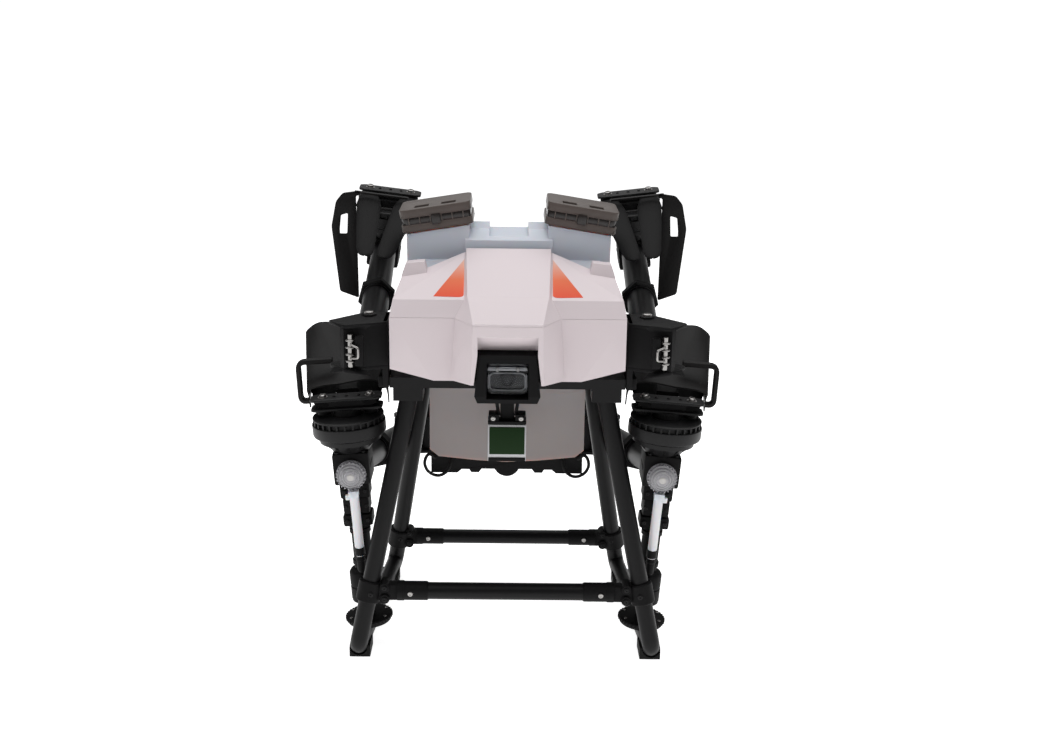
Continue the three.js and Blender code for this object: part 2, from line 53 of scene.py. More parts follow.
LEG_R = 16
ARM_R = 25
LEG_TOP = 500
FRONT_LEG_TOP = Vector((172, -160, LEG_TOP))
FRONT_FOOT = Vector((269, -215, 20))
REAR_FOOT = Vector((232, 214, 20))
REAR_LEG_TOP = Vector((155, 110, LEG_TOP))
FOOT_BEND = 26
UPPER_HINGE = Vector((240, -200, 598))
UPPER_MOTOR = Vector((262, 380, 655))
LOWER_HINGE = Vector((214, 290, 275))
LOWER_MOTOR = Vector((278, -148, 355))
BELL_R = 66
BLADE_PIVOT = 42
BLADE_LENGTH = 448
STOWED_TURNS = {"upper": (182.5, 176), "lower": (-5.5, -5.5)}  # inner and outer blade, in degrees


# ---------- camera ----------


VIEW_FROM = Vector((0, -2.653 + DATUM_Y, 1.194))
VIEW_TILT = 75  # degrees up from straight down
VIEW_ROLL = 0.55


def make_camera():
    camera = bpy.data.objects.new("camera", bpy.data.cameras.new("camera"))
    bpy.context.collection.objects.link(camera)
    camera.data.lens = 50
    camera.data.sensor_width = 36
    camera.data.shift_x = 0.0157
    camera.data.clip_end = 2000
    camera.data.dof.use_dof = False
    place = Matrix.Translation(VIEW_FROM)
    pitch = Matrix.Rotation(math.radians(VIEW_TILT), 4, "X")
    roll = Matrix.Rotation(math.radians(VIEW_ROLL), 4, "Z")
    camera.matrix_world = place @ pitch @ roll
    bpy.context.scene.camera = camera


# ---------- materials ----------


def material(name, colour, rough, metal=0.0, spread=0.05, grain=900.0, bump=0.04, **sockets):
    """A Principled finish whose roughness and surface vary a little with a fine noise."""
    made = bpy.data.materials.new(name)
    made.use_nodes = True
    tree = made.node_tree
    shader = tree.nodes["Principled BSDF"]
    shader.inputs["Base Color"].default_value = (*colour, 1)
    shader.inputs["Metallic"].default_value = metal
    shader.inputs["Roughness"].default_value = rough
    for key, value in sockets.items():
        shader.inputs[key.replace("_", " ")].default_value = value
    place = tree.nodes.new("ShaderNodeTexCoord")
    noise = tree.nodes.new("ShaderNodeTexNoise")
    noise.inputs["Scale"].default_value = grain
    noise.inputs["Detail"].default_value = 3
    span = tree.nodes.new("ShaderNodeMapRange")
    span.inputs["To Min"].default_value = max(rough - spread, 0.02)
    span.inputs["To Max"].default_value = min(rough + spread, 1)
    relief = tree.nodes.new("ShaderNodeBump")
    relief.inputs["Strength"].default_value = bump
    relief.inputs["Distance"].default_value = 0.0006
    tree.links.new(place.outputs["Object"], noise.inputs["Vector"])
    tree.links.new(noise.outputs["Fac"], span.inputs["Value"])
    tree.links.new(span.outputs["Result"], shader.inputs["Roughness"])
    tree.links.new(noise.outputs["Fac"], relief.inputs["Height"])
    tree.links.new(relief.outputs["Normal"], shader.inputs["Normal"])
    return made


def gradient(made, axis, low, high, stops):
    """Colours `made` along one of the machine's axes, from `low` to `high` in metres."""
    tree = made.node_tree
    shader = tree.nodes["Principled BSDF"]
    place = tree.nodes.new("ShaderNodeTexCoord")
    split = tree.nodes.new("ShaderNodeSeparateXYZ")
    span = tree.nodes.new("ShaderNodeMapRange")
    span.inputs["From Min"].default_value = low
    span.inputs["From Max"].default_value = high
    ramp = tree.nodes.new("ShaderNodeValToRGB")
    for i, (position, colour) in enumerate(stops):
        stop = ramp.color_ramp.elements[i] if i < 2 else ramp.color_ramp.elements.new(position)
        stop.position = position
        stop.color = (*colour, 1)
    tree.links.new(place.outputs["Object"], split.inputs["Vector"])
    tree.links.new(split.outputs[axis], span.inputs["Value"])
    tree.links.new(span.outputs["Result"], ramp.inputs["Fac"])
    tree.links.new(ramp.outputs["Color"], shader.inputs["Base Color"])


HOOD = material("hood_white", (0.66, 0.585, 0.605), 0.42, bump=0.02, Specular_IOR_Level=0.3)
FLASH = material("orange_flash", (0.6, 0.09, 0.03), 0.45, bump=0.02, Specular_IOR_Level=0.25)
# pale tank plastic; the ramp below paints shade on its lower part
TANK_PAINTED_SHADE = material("tank_plastic_painted_shade", (0.74, 0.745, 0.79), 0.34, bump=0.03, Subsurface_Weight=0.2)
LID = material("smoky_lid", (0.095, 0.078, 0.07), 0.34, bump=0.03, Specular_IOR_Level=0.25)
LID_RING = material("lid_ring", (0.020, 0.016, 0.015), 0.2, bump=0.03, Specular_IOR_Level=0.4)
CARBON = material(
    "black_tube", (0.0058, 0.0056, 0.006), 0.42, spread=0.04, bump=0.03, Specular_IOR_Level=0.16)
PLASTIC = material(
    "black_plastic", (0.0055, 0.0053, 0.0056), 0.6, spread=0.08, bump=0.10, Specular_IOR_Level=0.12)
SHEET = material("black_sheet", (0.0062, 0.0056, 0.0056), 0.5, bump=0.06, Specular_IOR_Level=0.15)
RUBBER = material("rubber", (0.008, 0.008, 0.008), 0.75, bump=0.12, Specular_IOR_Level=0.2)
ALLOY = material("black_alloy", (0.0068, 0.0066, 0.007), 0.45, bump=0.04, Specular_IOR_Level=0.2)
BLADE = material(
    "blade_carbon", (0.0036, 0.0034, 0.0036), 0.6, spread=0.06, bump=0.08, Specular_IOR_Level=0.06)
STEEL = material("steel", (0.34, 0.33, 0.32), 0.3, metal=1.0, bump=0.05)
SILVER = material("satin_silver", (0.42, 0.42, 0.43), 0.45, metal=0.6, bump=0.03)
RADAR = material("radar_green", (0.0045, 0.022, 0.003), 0.5, bump=0.05, Specular_IOR_Level=0.12)
GLASS = material(
    "clear_cover", (0.6, 0.61, 0.63), 0.05, spread=0.02, bump=0.0, Transmission_Weight=1.0, IOR=1.12)
CLEAR = material(
    "clear_cap", (0.66, 0.65, 0.68), 0.12, spread=0.04, bump=0.05, Transmission_Weight=0.6, IOR=1.3)
HOSE = material("white_hose", (0.70, 0.69, 0.72), 0.35, bump=0.03, Subsurface_Weight=0.2)
LENS = material("lens", (0.006, 0.006, 0.008), 0.08, spread=0.02, bump=0.0)
gradient(FLASH, "Y", -241 * MM + DATUM_Y, -66 * MM + DATUM_Y, (
    (0.0, (0.66, 0.055, 0.012)), (1.0, (0.66, 0.42, 0.34)), (0.45, (0.66, 0.13, 0.045))))
# painted shade: the tank's colour darkens from a pale top to a brownish grey at its bottom, the shade under
# the frame and hood
gradient(TANK_PAINTED_SHADE, "Z", 0.35, 0.78, (
    (0.0, (0.245, 0.205, 0.198)), (1.0, (0.66, 0.665, 0.74)), (0.5, (0.30, 0.26, 0.26)),
    (0.75, (0.50, 0.49, 0.54))))


# ---------- building pieces ----------


def rounded(points, radius, steps=3):
    """An outline with each corner rounded; `radius` is one number or one for each corner."""
    radii = radius if isinstance(radius, (list, tuple)) else [radius] * len(points)
    out = []
    for i, corner in enumerate(points):
        corner = Vector(corner)
        before = Vector(points[i - 1]) - corner
        after = Vector(points[(i + 1) % len(points)]) - corner
        reach = min(radii[i], before.length / 2.1, after.length / 2.1)
        if reach < 0.05:
            out.append(tuple(corner))
            continue
        start = corner + before.normalized() * reach
        end = corner + after.normalized() * reach
        for step in range(steps + 1):
            t = step / steps
            out.append(tuple(start * (1 - t) ** 2 + corner * 2 * t * (1 - t) + end * t ** 2))
    return out


def rounded_path(corners, radius, steps=8):
    """A path through corners with each inner corner turned into a curve."""
    path = [corners[0]]
    for before, corner, after in zip(corners, corners[1:], corners[2:]):
        start = corner + (before - corner).normalized() * radius
        end = corner + (after - corner).normalized() * radius
        for step in range(steps + 1):
            t = step / steps
            path.append(start * (1 - t) ** 2 + corner * 2 * t * (1 - t) + end * t ** 2)
    path.append(corners[-1])
    return path


def smooth_path(points, steps=6):
    """A Catmull-Rom curve through points."""
    path = []
    for i in range(len(points) - 1):
        a = points[max(i - 1, 0)]
        b, c = points[i], points[i + 1]
        d = points[min(i + 2, len(points) - 1)]
        for step in range(steps):
            t = step / steps
            path.append(0.5 * (2 * b + (c - a) * t + (2 * a - 5 * b + 4 * c - d) * t ** 2
                               + (3 * b - a - 3 * c + d) * t ** 3))
    path.append(points[-1])
    return path


class Piece:
    """Closed bodies drawn in millimetres and gathered into one object."""

    def __init__(self, name):
        self.name = name
        self.bm = bmesh.new()
        self.materials = []

    def index(self, look):
        if look not in self.materials:
            self.materials.append(look)
        return self.materials.index(look)

    def body(self, verts, faces, look, bevel=0.0):
        number = self.index(look)
        part = bmesh.new()
        made = [part.verts.new(v) for v in verts]
        for face in faces:
            part.faces.new([made[i] for i in face])
        bmesh.ops.recalc_face_normals(part, faces=part.faces)
        if bevel:
            sharp = [e for e in part.edges if e.is_manifold and e.calc_face_angle() > math.radians(28)]
            bmesh.ops.bevel(
                part, geom=sharp, offset=bevel, segments=2, profile=0.6, affect="EDGES",
                clamp_overlap=True)
        self.merge(part, number)

    def merge(self, part, number):
        for face in part.faces:
            face.material_index = number
        scratch = bpy.data.meshes.new("scratch")
        part.to_mesh(scratch)
        part.free()
        self.bm.from_mesh(scratch)
        bpy.data.meshes.remove(scratch)

    def box(self, x0, x1, y0, y1, z0, z1, look, bevel=1.5):
        corners = [(x, y, z) for z in (z0, z1) for y in (y0, y1) for x in (x0, x1)]
        faces = [(0, 2, 3, 1), (4, 5, 7, 6), (0, 1, 5, 4), (2, 6, 7, 3), (0, 4, 6, 2), (1, 3, 7, 5)]
        self.body(corners, faces, look, bevel)

    def hull(self, points, look, bevel=1.5):
        part = bmesh.new()
        for point in points:
            part.verts.new(point)
        bmesh.ops.convex_hull(part, input=part.verts)
        bmesh.ops.dissolve_limit(
            part, angle_limit=math.radians(1), verts=part.verts, edges=part.edges)
        part.verts.index_update()
        verts = [tuple(v.co) for v in part.verts]
        faces = [[v.index for v in face.verts] for face in part.faces]
        part.free()
        self.body(verts, faces, look, bevel)

    def loft(self, loops, look, bevel=0.0, closed=False):
        """A skin over closed loops of one length, with its ends capped or joined to each other."""
        count = len(loops[0])
        verts = [point for loop in loops for point in loop]
        faces = []
        rows = len(loops) if closed else len(loops) - 1
        for row in range(rows):
            for i in range(count):
                a = row * count + i
                b = row * count + (i + 1) % count
                c = ((row + 1) % len(loops)) * count + (i + 1) % count
                d = ((row + 1) % len(loops)) * count + i
                faces.append((a, b, c, d))
        if not closed:
            faces.append(tuple(range(count)))
            faces.append(tuple(range(len(verts) - count, len(verts)))[::-1])
        self.body(verts, faces, look, bevel)

    def tube(self, path, radius, look, sides=20):
        """A round tube along a path; `radius` is one number or one for each point."""
        radii = radius if isinstance(radius, (list, tuple)) else [radius] * len(path)
        loops = []
        across = None
        for i, point in enumerate(path):
            along = (path[min(i + 1, len(path) - 1)] - path[max(i - 1, 0)]).normalized()
            if across is None:
                across = along.orthogonal().normalized()
            across = (across - along * across.dot(along)).normalized()
            other = along.cross(across)
            loops.append([
                point + (across * math.cos(a) + other * math.sin(a)) * radii[i]
                for a in (2 * math.pi * k / sides for k in range(sides))])
        self.loft(loops, look)

    def lathe(self, profile, look, centre=(0, 0, 0), along=(0, 0, 1), sides=32, bevel=0.0):
        """A turned body: `profile` holds (distance along the axis, radius)."""
        turn = Vector((0, 0, 1)).rotation_difference(Vector(along).normalized()).to_matrix()
        loops = []
        for height, radius in profile:
            loops.append([
                Vector(centre) + turn @ Vector((radius * math.cos(a), radius * math.sin(a), height))
                for a in (2 * math.pi * k / sides for k in range(sides))])
        self.loft(loops, look, bevel)

    def plate(self, outline, low, high, look, axis="z", holes=(), bevel=0.8):
        """A flat plate with rounded edges, drawn in plan (z), from the front (y) or from the side (x)."""
        curve = bpy.data.curves.new("plate", "CURVE")
        curve.dimensions = "2D"
        curve.fill_mode = "BOTH"
        curve.extrude = (high - low) / 2 - bevel
        curve.bevel_depth = bevel
        curve.bevel_resolution = 1
        curve.offset = -bevel
        for loop in (outline, *holes):
            spline = curve.splines.new("POLY")
            spline.points.add(len(loop) - 1)
            for point, (u, v) in zip(spline.points, loop):
                point.co = (u, v, 0, 1)
            spline.use_cyclic_u = True
        holder = bpy.data.objects.new("plate", curve)
        mesh = bpy.data.meshes.new_from_object(holder)
        part = bmesh.new()
        part.from_mesh(mesh)
        bmesh.ops.remove_doubles(part, verts=part.verts, dist=0.02)
        middle = (low + high) / 2
        for vert in part.verts:
            u, v, w = vert.co
            vert.co = {"z": (u, v, middle + w), "y": (u, middle + w, v), "x": (middle + w, u, v)}[axis]
        bmesh.ops.recalc_face_normals(part, faces=part.faces)
        bpy.data.objects.remove(holder)
        bpy.data.curves.remove(curve)
        bpy.data.meshes.remove(mesh)
        self.merge(part, self.index(look))

    def ring(self, centre, radius, tube, look, along=(0, 0, 1), sides=36):
        """A round ring."""
        turn = Vector((0, 0, 1)).rotation_difference(Vector(along).normalized()).to_matrix()
        loops = []
        for k in range(sides):
            a = 2 * math.pi * k / sides
            out = Vector((math.cos(a), math.sin(a), 0))
            loops.append([
                Vector(centre) + turn @ (
                    out * (radius + tube * math.cos(b)) + Vector((0, 0, tube * math.sin(b))))
                for b in (2 * math.pi * j / 10 for j in range(10))])
        self.loft(loops, look, closed=True)

    def fins(self, count, profile, half_width, look, centre=None):
        """Fins round an axis: `profile` holds (radius, height). From a `centre`, the axis points forward."""
        for k in range(count):
            a = 2 * math.pi * k / count
            c, s = math.cos(a), math.sin(a)
            points = []
            for radius, height in profile:
                for w in (-half_width, half_width):
                    u = c * radius - s * w
                    v = s * radius + c * w
                    points.append(
                        (centre[0] + u, centre[1] - height, centre[2] + v) if centre else (u, v, height))
            self.hull(points, look, 0)

    def screw(self, x, y, z, radius, look=STEEL, along=(0, 0, 1), height=4):
        """A socket screw's head, standing on (x, y, z)."""
        self.lathe(
            [(0, radius), (height * 0.8, radius), (height, radius * 0.8), (height, radius * 0.5),
             (height * 0.45, radius * 0.45)], look, (x, y, z), along, 12)

    def done(self, body, place=DRAWING, replaces=()):
        mesh = bpy.data.meshes.new(self.name)
        self.bm.to_mesh(mesh)
        self.bm.free()
        mesh.transform(place)
        if place.determinant() < 0:
            mesh.flip_normals()
        for look in self.materials:
            mesh.materials.append(look)
        smooth_mesh(mesh)
        made = bpy.data.objects.new(self.name, mesh)
        bpy.context.collection.objects.link(made)
        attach(made, body)
        if replaces:
            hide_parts(*replaces)
        return made


def smooth_mesh(mesh, angle=33):
    for face in mesh.polygons:
        face.use_smooth = True
    mesh.set_sharp_from_angle(angle=math.radians(angle))


def single(name, draw, replaces=(), body="airframe"):
    piece = Piece(name)
    draw(piece)
    piece.done(body, replaces=replaces)


def pair(name, draw, replaces=(), body="airframe", place=DRAWING):
    """One piece on each side, drawn for the left; `{}` in names stands for the side."""
    for word, side in SIDES.items():
        piece = Piece(f"{name}_{word}")
        draw(piece)
        matrix = place if side > 0 else MIRROR @ place
        piece.done(body.format(word), matrix, [node.format(word) for node in replaces])


def soften(node, look, width=0.0012, angle=25, segments=3):
    """Gives a CAD node its material, and rounds its edges."""
    made = frame["nodes"][node]
    made.data.materials.clear()
    made.data.materials.append(look)
    smooth_mesh(made.data)
    flat = made.modifiers.new("flat", "DECIMATE")
    flat.decimate_type = "DISSOLVE"
    flat.angle_limit = math.radians(1.5)
    edge = made.modifiers.new("edge", "BEVEL")
    edge.width = width
    edge.segments = segments
    edge.limit_method = "ANGLE"
    edge.angle_limit = math.radians(angle)
    edge.harden_normals = True
    edge.use_clamp_overlap = True


def motor_place(level):
    """Where the left motor's local drawing lies: its joint is on the rotor's axis, 90 mm up."""
    joint = JOINTS[f"{level}_rotor_left_turn"]
    axis = Vector(joint["axis"]).normalized()
    up = axis if axis.z > 0 else -axis
    back = Vector((0, up.z, -up.y)).normalized()
    across = back.cross(up)
    turn = Matrix((across, back, up)).transposed().to_4x4()
    base = Vector(joint["pos_m"]) - up * 90 * MM
    return Matrix.Translation(base) @ turn @ Matrix.Scale(MM, 4)


PLACES = {level: motor_place(level) for level in ("upper", "lower")}


# ---------- cords ----------

LOOP_POINTS = [Vector(point) for point in (
    (104, -71.4, 342), (104, -77, 342), (105, -84, 331), (111, -86, 319), (122, -86, 311.5),
    (134, -86, 311.5), (146, -86, 319), (152, -86, 332), (150, -85, 345), (143, -82, 351),
    (134, -78, 343), (134, -71.4, 342))]
LOOP_D = 6


def cable_loops():
    for word, side in SIDES.items():
        place = DRAWING if side > 0 else MIRROR @ DRAWING
        route = smooth_path(LOOP_POINTS, 4)
        piece = Piece(f"pump_cable_{word}")
        piece.tube(route, LOOP_D / 2, RUBBER, 12)
        made = piece.done("airframe", place, [f"cable_loop_{word}"])


# ---------- landing gear ----------


def legs(piece):
    corners = [FRONT_LEG_TOP, FRONT_FOOT, REAR_FOOT, REAR_LEG_TOP]
    piece.tube(rounded_path(corners, FOOT_BEND, 10), LEG_R, CARBON, 28)


def leg_point(top, foot, z):
    return top.lerp(foot, (LEG_TOP - z) / (LEG_TOP - foot.z))


def cross_bar(top, foot, z, pivot, tube):
    """A bar between two legs: a tube with end sleeves, lugs bolted to the leg clamps."""
    def draw(piece):
        leg = leg_point(top, foot, z)
        y = leg.y
        piece.tube([Vector((-pivot + 12, y, z)), Vector((pivot - 12, y, z))], tube, CARBON, 28)
        for side in (1, -1):
            def at(x, dy=0.0, dz=0.0):
                return Vector((side * x, y + dy, z + dz))
            piece.tube(
                [at(pivot - 66), at(pivot - 64), at(pivot - 12)], [tube + 0.5, tube + 2, tube + 2],
                PLASTIC, 28)
            piece.tube([at(pivot - 22), at(pivot - 10)], tube + 3, PLASTIC, 28)
            xs = sorted((side * (pivot - 14), side * (leg.x - 10)))
            piece.box(xs[0], xs[1], y - 12, y + 12, z - 15, z + 15, PLASTIC, 3)
            for dz in (-1, 1):
                piece.lathe(
                    [(-17, 8), (-16, 9), (16, 9), (17, 8)], PLASTIC, at((pivot + leg.x) / 2 - 8, 0, dz * 11),
                    (0, 1, 0), 20)
                piece.screw(*at((pivot + leg.x) / 2 - 8, -17, dz * 11), 4.5, ALLOY, (0, -1, 0), 3)
            piece.screw(*at(pivot - 34, -tube - 1), 4.5, STEEL, (0, -1, 0), 2)
            high = leg_point(top, foot, z + 19)
            low = leg_point(top, foot, z - 19)
            stops = (low, low.lerp(high, 0.06), low.lerp(high, 0.94), high)
            path = [Vector((side * p.x, p.y, p.z)) for p in stops]
            piece.tube(path, [LEG_R + 4, LEG_R + 6, LEG_R + 6, LEG_R + 4], PLASTIC, 28)
            piece.screw(*at(leg.x - 4, -LEG_R - 5), 4.5, ALLOY, (0, -1, 0), 3)
    return draw


# ---------- hood ----------


def hood_height(y):
    """Height of the wings' top face."""
    return 680 + (y + 252) * 42 / 222


def flash(piece):
    """Printed orange panel beside the hood's raised middle."""
    outline = rounded([(75.5, -241), (127, -238), (79.5, -66)], [12, 1, 1], 5)
    proud = 0.5
    loops = [[(x, y, hood_height(y) + lift) for x, y in outline] for lift in (-1, proud)]
    piece.loft(loops, FLASH)


def hood():
    soften("upper_cover", HOOD, 0.0032, 9, 4)
    soften("front_cover", HOOD, 0.0036, 9, 4)
    pair("hood_flash", flash)


# ---------- tank ----------

LID_PLACE = (
    DRAWING @ Matrix.Translation((129.5, 40, 760.6)) @ Matrix.Rotation(math.radians(9), 4, "Y"))


def lid(piece):
    outer = rounded([(-66, -62), (66, -62), (66, 62), (-66, 62)], 16, 5)
    grips = [
        rounded([(x - 13, -46), (x + 13, -46), (x + 13, -18), (x - 13, -18)], 2, 2) for x in (-25, 25)]
    piece.plate(outer, 28, 44, LID, holes=grips, bevel=1.6)
    for x in (-25, 25):
        piece.box(x - 13.5, x + 13.5, -46.5, -17.5, 29, 34, LID_RING, 0)
    body = rounded([(-64, -60), (64, -60), (64, 60), (-64, 60)], 15, 5)
    piece.plate(body, 15, 28.5, LID_RING, bevel=0.8)
    piece.plate(outer, 2.4, 16, LID, bevel=1.2)
    for x in range(-50, 51, 20):
        piece.box(x - 1, x + 1, -62.5, -59, 15, 29, LID, 0.4)
    piece.box(-8, 8, -66, -58, 12, 30, LID_RING, 1)


def tank():
    soften("spray_tank", TANK_PAINTED_SHADE, 0.006, 14, 4)
    pair("filler_lid", lid, ["tank_lid_{}"], "lid_{}", LID_PLACE)


# ---------- camera and radar ----------


def camera_window(piece):
    face = rounded([(-33, 534), (33, 534), (33, 584), (-33, 584)], 9, 5)
    loops = []
    for inset, y in ((0, -302), (0, -320), (2.5, -326), (7, -328.5)):
        loops.append([(x * (33 - inset) / 33, y, 559 + (z - 559) * (25 - inset) / 25) for x, z in face])
    piece.loft(loops, GLASS)


def camera_inside(piece):
    piece.box(-34, 34, -306, -301, 529, 587, LENS, 1)
    piece.lathe([(0, 13), (7, 12), (7, 9), (3, 7)], LENS, (0, -306, 556), (0, -1, 0), 28)
    piece.box(-30, 30, -309, -305, 572, 576, SILVER, 0.5)
    for x in (-17, 17):
        piece.screw(x, -309, 574, 3.4, STEEL, (0, -1, 0), 3)
    rim = rounded([(-29, 540), (29, 540), (29, 569), (-29, 569)], 8, 5)
    path = [Vector((x, -310, z)) for x, z in rim + rim[:2]]
    piece.tube(path, 1.3, SILVER, 10)


def radar(piece):
    piece.box(-33, 33, -256, -227, 396, 462, SILVER, 1.5)
    piece.box(-30.5, 30.5, -258, -254, 409, 458, RADAR, 1)
    piece.box(-32, 32, -257.5, -228, 396.2, 403, PLASTIC, 1)


def radar_bracket(piece):
    piece.box(-33, 33, -260, -228, 464, 469, PLASTIC, 1)
    piece.box(-32, -14, -258, -230, 468, 481, PLASTIC, 2)
    piece.box(14, 32, -258, -230, 468, 481, PLASTIC, 2)
    piece.box(-12, 12, -248, -232, 466, 511, PLASTIC, 2)
    piece.box(-24, 24, -258, -232, 501, 511, PLASTIC, 2)
    for x in (-24, 24):
        piece.screw(x, -258, 474, 4, STEEL, (0, -1, 0), 2.5)
        piece.tube([Vector((x * 0.6, -246, 476)), Vector((x * 0.8, -246, 506))], 3, PLASTIC, 10)


# ---------- motors and blades ----------


def bell(piece):
    piece.lathe(
        [(58, BELL_R - 4), (59.5, BELL_R - 1), (62, BELL_R), (80, BELL_R), (81, BELL_R - 1),
         (81.5, BELL_R - 6), (89, BELL_R - 7), (90, BELL_R - 3), (93, BELL_R - 5), (93.5, 40)],
        ALLOY, sides=64)
    piece.fins(28, [(r, z) for r in (BELL_R - 8, BELL_R - 2.2) for z in (81, 90)], 1.6, ALLOY)
    piece.lathe(
        [(89.5, BELL_R - 8), (90, BELL_R - 2), (92, BELL_R - 2), (93, BELL_R - 4)], ALLOY, sides=64)
    piece.lathe([(92, 26), (106, 25)], PLASTIC)
    piece.box(-47, 47, -13, 13, 109, 122.5, PLASTIC, 0.5)
    end = rounded(
        [(-64, -14), (-54, -20), (54, -20), (64, -14), (64, 14), (54, 20), (-54, 20), (-64, 14)], 4)
    piece.plate(end, 104.5, 109.5, ALLOY, bevel=1)
    piece.plate(end, 122.3, 127, ALLOY, bevel=1)
    for x in (-BLADE_PIVOT, BLADE_PIVOT):
        piece.lathe([(96, 12), (104, 12)], PLASTIC, (x, 0, 0), sides=20)
        piece.lathe([(108, 7.4), (123, 7.4)], STEEL, (x, 0, 0), sides=16)
        piece.screw(x, 0, 126.8, 6.4, STEEL, height=6)
        piece.lathe([(126.6, 9.5), (127.8, 9)], STEEL, (x, 0, 0), sides=20)
    for x in (-22, 0, 22):
        piece.screw(x, 0, 126.8, 3, ALLOY, height=2)


def blade(pivot, turn):
    """One blade, lying back along +Y from its bolt but for `turn`, in degrees about the rotor's axis."""
    def draw(piece):
        # distance from the bolt, half width, thickness
        stations = [
            (-14, 12, 8.4), (0, 17, 8.6), (14, 16, 8.4), (45, 21, 7.5), (95, 24.6, 6.5), (180, 22.5, 5.6),
            (300, 19.5, 4.6), (400, 16.5, 3.8), (432, 13, 3), (443, 8, 2.4), (BLADE_LENGTH - 1, 2, 1.6)]
        swing = Matrix.Rotation(math.radians(turn), 4, "Z")
        loops = []
        for y, half, thick in stations:
            loop = []
            for k in range(16):
                a = 2 * math.pi * k / 16
                x = half * math.cos(a)
                camber = 2.2 * (1 - (x / half) ** 2) * min(y / 60, 1) if y > 0 else 0
                point = swing @ Vector((x, y, 116.4 + camber + thick / 2 * math.sin(a)))
                loop.append(point + Vector((pivot, 0, 0)))
            loops.append(loop)
        piece.loft(loops, BLADE)
    return draw


def motor_base(piece):
    piece.box(-33, 33, -35, 35, -31, 29, PLASTIC, 5)
    piece.box(-34, 34, -20, 20, -4, 3, PLASTIC, 1)
    piece.lathe([(28, 34), (44, 45), (46, 50), (46.5, 55), (55, 56), (57, 54)], ALLOY, sides=48)
    piece.fins(12, [(32, 29), (52, 46), (36, 46)], 1.5, ALLOY)
    for x in (-24, 24):
        for y in (-28, 28):
            piece.screw(x, y, 28.5, 4, ALLOY, height=3)
            piece.screw(x, -34.5 if y < 0 else 34.5, y * 0.7, 4, ALLOY, (0, -1 if y < 0 else 1, 0), 3)


def arm(hinge, motor, knuckle, collars, screws):
    def draw(piece):
        along = (motor - hinge).normalized()
        piece.tube([hinge, motor - along * 20], ARM_R, CARBON, 40)
        piece.lathe(
            [(knuckle[0], 22), (knuckle[0] + 2, 24), (knuckle[1] - 2, 24), (knuckle[1], 22)], PLASTIC, hinge)
        for start, length, radius in collars:
            path = [hinge + along * (start + step) for step in (0, 3, length - 3, length)]
            piece.tube(path, [radius - 3, radius, radius, radius - 3], PLASTIC, 6)
            for end in (start - 3, start + length + 1):
                ends = [hinge + along * end, hinge + along * (end + 2)]
                piece.tube(ends, ARM_R + 3, ALLOY, 40)
        for distance in screws:
            point = hinge + along * distance
            piece.screw(
                point.x - ARM_R * 0.6, point.y - ARM_R * 0.7, point.z + 12, 4, ALLOY, (-0.6, -0.8, 0.2), 4)
    return draw


# ---------- spray gear ----------


def strut(piece):
    """Clamp blocks, tube and nozzle body that hang below a lower motor."""
    piece.box(-27, 27, -21, 21, -62, -34, PLASTIC, 4)
    piece.box(-24, 24, -22, 22, -92, -60, PLASTIC, 5)
    piece.box(-27, 27, -20, 20, -117, -94, PLASTIC, 5)
    piece.lathe([(-205, 15), (-204, 17), (-120, 17), (-117, 20)], PLASTIC, sides=32)
    for z in (-196, -134):
        piece.lathe([(z, 18), (z + 1, 19.5), (z + 9, 19.5), (z + 10, 18)], PLASTIC, sides=32)
    piece.lathe(
        [(-270, 24), (-268, 27), (-264, 28), (-240, 28), (-239, 26.5), (-236, 26.5), (-235, 28), (-212, 28),
         (-207, 25), (-204, 19)], PLASTIC, sides=36)
    piece.lathe([(-298, 12), (-290, 11), (-270, 11)], PLASTIC, sides=24)
    piece.box(-8, 8, -33, -12, -196, -184, PLASTIC, 2)
    piece.tube([Vector((0, -32, z)) for z in (-200, -196, -170, -168)], [6, 8, 8, 7], PLASTIC, 18)
    piece.ring((0, -32, -176), 8, 1.2, ALLOY)
    for z in (-48, -77, -105):
        for x in (-19, 19):
            piece.screw(x, -21, z, 3.6, ALLOY, (0, -1, 0), 3)


def disc(piece):
    piece.lathe(
        [(-312.6, 36), (-311.5, 40), (-309, 41), (-302, 43.5), (-300, 42.5), (-299, 36), (-298.6, 14)],
        PLASTIC, sides=48)
    piece.fins(36, [(r, z) for r in (41, 44) for z in (-306, -300)], 1, PLASTIC)
    for k in range(6):
        a = math.pi * (k + 0.5) / 3
        piece.screw(36 * math.cos(a), 36 * math.sin(a), -299.4, 3, STEEL, height=1.6)


FORWARD = (0, -1, 0)
CAP_CENTRE = (0, -36.4, -8)
CAP_BACK = (0, -36.6, -8)


def cap(piece):
    piece.lathe([(0, 26), (3, 27), (6, 27), (7, 25), (12, 24.5), (13, 21), (16, 20.5), (17, 16.5), (19, 16),
                 (20, 11), (21.5, 9)], CLEAR, CAP_CENTRE, FORWARD, 48)
    for depth, radius in ((12.6, 23), (16.6, 18.5), (19.6, 13.5)):
        piece.lathe(
            [(depth, radius + 0.8), (depth + 0.9, radius), (depth, radius - 0.8)], SILVER, CAP_CENTRE,
            FORWARD, 48)
    piece.fins(24, [(r, depth) for r in (24, 26.6) for depth in (7, 15)], 1, CLEAR, CAP_CENTRE)
    piece.lathe([(20.5, 8), (21.6, 6), (21.6, 3)], STEEL, CAP_CENTRE, FORWARD, 20)


def cap_inside(piece):
    piece.lathe([(1, 23), (3, 23), (3, 18), (6, 17)], SILVER, CAP_BACK, FORWARD, 40)
    piece.fins(6, [(r, depth) for r in (4, 17) for depth in (3, 12)], 1.2, HOSE, CAP_BACK)


